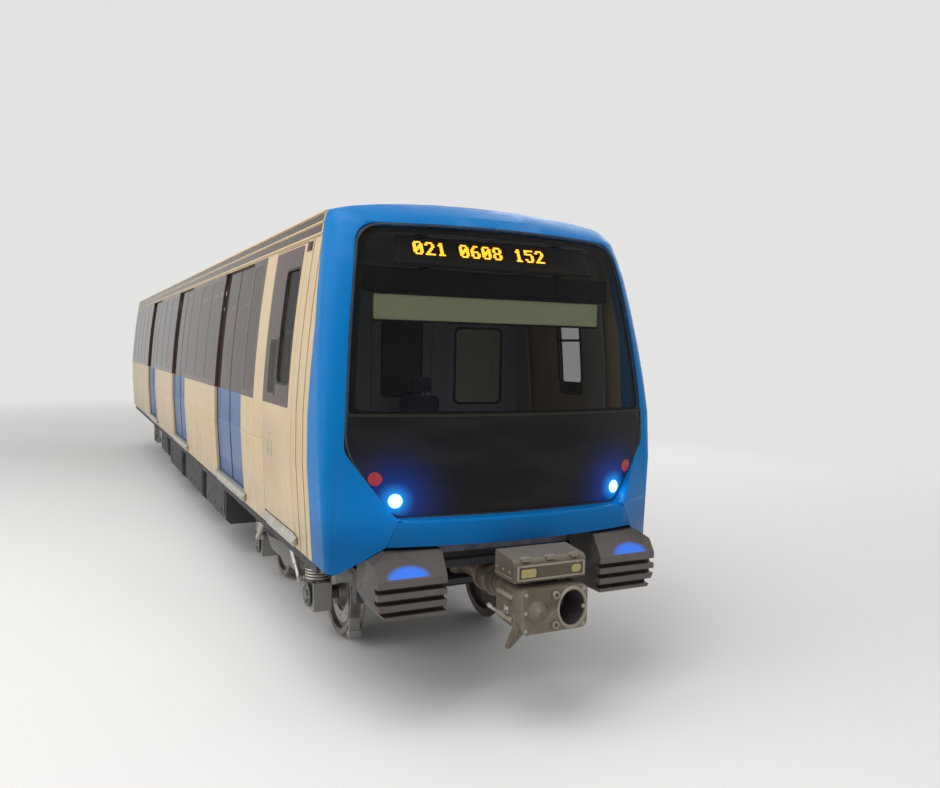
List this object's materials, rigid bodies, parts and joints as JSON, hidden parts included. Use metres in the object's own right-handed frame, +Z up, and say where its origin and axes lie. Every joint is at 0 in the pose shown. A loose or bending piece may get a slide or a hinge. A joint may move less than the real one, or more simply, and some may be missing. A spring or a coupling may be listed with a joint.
{
  "type": "metro car",
  "caption": "Leading metro car with a rounded cab front, sliding side doors, bogies on rail wheelsets, an automatic coupler ahead and a drawbar behind.",
  "frame": {"origin": "middle of the car on the plane under the wheel flange tips", "axes": "+Z up, -Y ahead (the cab end), +X to the right as seen from in front of the cab"},
  "size_m": [2.9, 18.55, 3.8196],
  "materials": {
    "body_cream": "satin cream paint",
    "mask_blue": "gloss blue paint",
    "door_blue": "satin light blue paint",
    "band_black": "gloss black paint",
    "dark_glass": "dark tinted glass",
    "screen_glass": "laminated clear glass, slight tint",
    "gloss_black": "gloss black panel",
    "headlamp_lens": "clear lamp glass",
    "tail_lens": "red lamp glass",
    "display_black": "matt black case",
    "buffer_steel": "worn grey-brown paint",
    "coupler_cast": "worn cast steel",
    "coupler_box": "worn grey paint",
    "roof_paint": "matt light grey paint",
    "sill_metal": "ribbed aluminium",
    "underframe_paint": "matt dark grey paint",
    "floor_rubber": "studded rubber sheet",
    "lining_panel": "satin light grey panel",
    "cab_panel": "satin grey-green paint",
    "desk_black": "fine-grain moulded plastic",
    "seat_fabric": "woven seat cloth",
    "seat_shell": "moulded shell",
    "pole_steel": "brushed tube",
    "bogie_paint": "matt grey paint with brake dust",
    "bogie_rubber": "black rubber bellows",
    "wheel_steel": "rolled steel, bright tread"
  },
  "bodies": {
    "body": {"underframe": "underframe_paint", "floor": "floor_rubber", "headstocks": "underframe_paint", "coupler_pockets": "underframe_paint", "side_panels": "body_cream", "window_band": "band_black", "side_windows": "dark_glass", "side_lining": "lining_panel", "cantrails": "body_cream", "door_sills": "sill_metal", "roof": "roof_paint", "ceiling": "lining_panel", "front_mask": "mask_blue", "windscreen": "screen_glass", "front_apron": "gloss_black", "lower_beam": "mask_blue", "headlamps": "headlamp_lens", "tail_lamps": "tail_lens", "destination_display": "display_black", "anti_climbers": "buffer_steel", "cab_bulkhead": "cab_panel", "rear_end_wall": "body_cream", "driver_desk": "desk_black", "driver_seat": "seat_fabric", "seats": "seat_shell", "grab_poles": "pole_steel", "equipment_cases": "underframe_paint"},
    "front_coupler": {"coupler_shank": "coupler_cast", "coupler_head": "coupler_cast", "coupler_electric_box": "coupler_box"},
    "drawbar": {"rear_drawbar": "coupler_cast"},
    "bulkhead_door": {"bulkhead_door": "cab_panel"},
    "end_door": {"end_door": "body_cream"},
    "cab_door_right": {"cab_door_right": "body_cream"},
    "cab_door_left": {"cab_door_left": "body_cream"},
    "door_1_right_front": {"door_1_right_front": "door_blue"},
    "door_1_right_rear": {"door_1_right_rear": "door_blue"},
    "door_1_left_front": {"door_1_left_front": "door_blue"},
    "door_1_left_rear": {"door_1_left_rear": "door_blue"},
    "door_2_right_front": {"door_2_right_front": "door_blue"},
    "door_2_right_rear": {"door_2_right_rear": "door_blue"},
    "door_2_left_front": {"door_2_left_front": "door_blue"},
    "door_2_left_rear": {"door_2_left_rear": "door_blue"},
    "door_3_right_front": {"door_3_right_front": "door_blue"},
    "door_3_right_rear": {"door_3_right_rear": "door_blue"},
    "door_3_left_front": {"door_3_left_front": "door_blue"},
    "door_3_left_rear": {"door_3_left_rear": "door_blue"},
    "front_bogie": {"front_bogie_frame": "bogie_paint", "front_bogie_axleboxes": "bogie_paint", "front_bogie_air_springs": "bogie_rubber", "front_bogie_motors": "underframe_paint"},
    "front_bogie_front_wheelset": {"front_bogie_front_wheelset": "wheel_steel"},
    "front_bogie_rear_wheelset": {"front_bogie_rear_wheelset": "wheel_steel"},
    "rear_bogie": {"rear_bogie_frame": "bogie_paint", "rear_bogie_axleboxes": "bogie_paint", "rear_bogie_air_springs": "bogie_rubber", "rear_bogie_motors": "underframe_paint"},
    "rear_bogie_front_wheelset": {"rear_bogie_front_wheelset": "wheel_steel"},
    "rear_bogie_rear_wheelset": {"rear_bogie_rear_wheelset": "wheel_steel"}
  },
  "joints": [
    {"name": "front_coupler_swing", "type": "hinge", "parent": "body", "child": "front_coupler", "pos_m": [0, -7.8, 0.86], "axis": [0, 0, 1], "range_deg": [-15, 15]},
    {"name": "drawbar_swing", "type": "hinge", "parent": "body", "child": "drawbar", "pos_m": [0, 7.8, 0.83], "axis": [0, 0, 1], "range_deg": [-12, 12]},
    {"name": "bulkhead_door_swing", "type": "hinge", "parent": "body", "child": "bulkhead_door", "pos_m": [-0.322, -6.29, 2.15], "axis": [0, 0, 1], "range_deg": [0, 90]},
    {"name": "end_door_swing", "type": "hinge", "parent": "body", "child": "end_door", "pos_m": [-0.332, 8.656, 2.15], "axis": [0, 0, -1], "range_deg": [0, 90]},
    {"name": "cab_door_right_swing", "type": "hinge", "parent": "body", "child": "cab_door_right", "pos_m": [1.25, -7.62, 2.3], "axis": [0, 0, 1], "range_deg": [0, 75]},
    {"name": "cab_door_left_swing", "type": "hinge", "parent": "body", "child": "cab_door_left", "pos_m": [-1.25, -7.62, 2.3], "axis": [0, 0, -1], "range_deg": [0, 75]},
    {"name": "door_1_right_front_slide", "type": "slide", "parent": "body", "child": "door_1_right_front", "axis": [0, -1, 0], "range_m": [0, 0.8]},
    {"name": "door_1_right_rear_slide", "type": "slide", "parent": "body", "child": "door_1_right_rear", "axis": [0, 1, 0], "range_m": [0, 0.8]},
    {"name": "door_1_left_front_slide", "type": "slide", "parent": "body", "child": "door_1_left_front", "axis": [0, -1, 0], "range_m": [0, 0.8]},
    {"name": "door_1_left_rear_slide", "type": "slide", "parent": "body", "child": "door_1_left_rear", "axis": [0, 1, 0], "range_m": [0, 0.8]},
    {"name": "door_2_right_front_slide", "type": "slide", "parent": "body", "child": "door_2_right_front", "axis": [0, -1, 0], "range_m": [0, 0.8]},
    {"name": "door_2_right_rear_slide", "type": "slide", "parent": "body", "child": "door_2_right_rear", "axis": [0, 1, 0], "range_m": [0, 0.8]},
    {"name": "door_2_left_front_slide", "type": "slide", "parent": "body", "child": "door_2_left_front", "axis": [0, -1, 0], "range_m": [0, 0.8]},
    {"name": "door_2_left_rear_slide", "type": "slide", "parent": "body", "child": "door_2_left_rear", "axis": [0, 1, 0], "range_m": [0, 0.8]},
    {"name": "door_3_right_front_slide", "type": "slide", "parent": "body", "child": "door_3_right_front", "axis": [0, -1, 0], "range_m": [0, 0.8]},
    {"name": "door_3_right_rear_slide", "type": "slide", "parent": "body", "child": "door_3_right_rear", "axis": [0, 1, 0], "range_m": [0, 0.8]},
    {"name": "door_3_left_front_slide", "type": "slide", "parent": "body", "child": "door_3_left_front", "axis": [0, -1, 0], "range_m": [0, 0.8]},
    {"name": "door_3_left_rear_slide", "type": "slide", "parent": "body", "child": "door_3_left_rear", "axis": [0, 1, 0], "range_m": [0, 0.8]},
    {"name": "front_bogie_turn", "type": "hinge", "parent": "body", "child": "front_bogie", "pos_m": [0, -5.8, 0.9], "axis": [0, 0, 1], "range_deg": [-6, 6]},
    {"name": "front_bogie_front_wheelset_roll", "type": "hinge", "parent": "front_bogie", "child": "front_bogie_front_wheelset", "pos_m": [0, -6.85, 0.42], "axis": [1, 0, 0], "continuous": true},
    {"name": "front_bogie_rear_wheelset_roll", "type": "hinge", "parent": "front_bogie", "child": "front_bogie_rear_wheelset", "pos_m": [0, -4.75, 0.42], "axis": [1, 0, 0], "continuous": true},
    {"name": "rear_bogie_turn", "type": "hinge", "parent": "body", "child": "rear_bogie", "pos_m": [0, 5.6, 0.9], "axis": [0, 0, 1], "range_deg": [-6, 6]},
    {"name": "rear_bogie_front_wheelset_roll", "type": "hinge", "parent": "rear_bogie", "child": "rear_bogie_front_wheelset", "pos_m": [0, 4.55, 0.42], "axis": [1, 0, 0], "continuous": true},
    {"name": "rear_bogie_rear_wheelset_roll", "type": "hinge", "parent": "rear_bogie", "child": "rear_bogie_rear_wheelset", "pos_m": [0, 6.65, 0.42], "axis": [1, 0, 0], "continuous": true}
  ],
  "couplings": [
    {"joint": "door_1_right_rear_slide", "follows": "door_1_right_front_slide", "ratio": 1},
    {"joint": "door_1_left_rear_slide", "follows": "door_1_left_front_slide", "ratio": 1},
    {"joint": "door_2_right_rear_slide", "follows": "door_2_right_front_slide", "ratio": 1},
    {"joint": "door_2_left_rear_slide", "follows": "door_2_left_front_slide", "ratio": 1},
    {"joint": "door_3_right_rear_slide", "follows": "door_3_right_front_slide", "ratio": 1},
    {"joint": "door_3_left_rear_slide", "follows": "door_3_left_front_slide", "ratio": 1}
  ]
}
